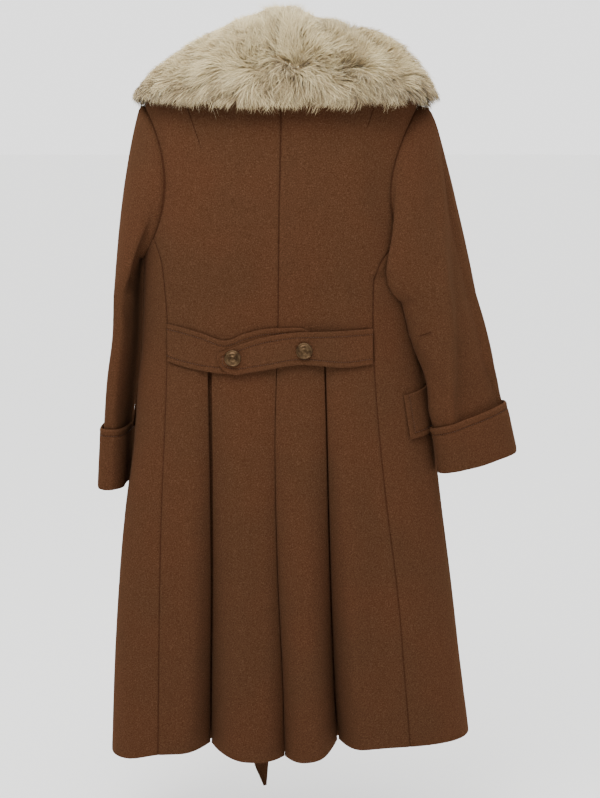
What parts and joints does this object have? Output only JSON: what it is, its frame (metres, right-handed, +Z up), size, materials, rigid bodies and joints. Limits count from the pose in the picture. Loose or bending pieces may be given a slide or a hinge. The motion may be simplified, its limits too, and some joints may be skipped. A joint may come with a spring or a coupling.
{
  "type": "princess coat",
  "caption": "Long fitted wool coat with a wide fur collar, pleated back skirt, buttoned half belt, turned-back cuffs and tie belt, hollow as when worn.",
  "frame": {"origin": "on the coat's upright axis, level with the back neck seam, where the wearer's neck and shoulders hold the coat up", "axes": "+Z up, +Y the way the wearer faces, +X to the wearer's right, so the coat's back is towards -Y"},
  "size_m": [0.6552, 0.2802, 1.2902],
  "materials": {
    "wool_cloth": "matte felted wool with a fine nap",
    "fur": "long soft fur, cream to beige",
    "button_metal": "brown bronze, satin"
  },
  "bodies": {
    "root": {"back_left": "wool_cloth", "back_right": "wool_cloth", "side_back_left": "wool_cloth", "side_front_left": "wool_cloth", "side_back_right": "wool_cloth", "side_front_right": "wool_cloth", "front_left": "wool_cloth", "front_right": "wool_cloth", "back_skirt_left": "wool_cloth", "back_skirt_right": "wool_cloth", "sleeve_left": "wool_cloth", "cuff_left": "wool_cloth", "sleeve_right": "wool_cloth", "cuff_right": "wool_cloth", "fur_collar": "fur", "half_belt_left": "wool_cloth", "half_belt_right": "wool_cloth", "button_left": "button_metal", "button_right": "button_metal", "pocket_flap_left": "wool_cloth", "pocket_flap_right": "wool_cloth", "sash_left": "wool_cloth", "sash_right": "wool_cloth", "sash_knot": "wool_cloth", "sash_end_long": "wool_cloth", "sash_end_short": "wool_cloth"}
  },
  "joints": []
}
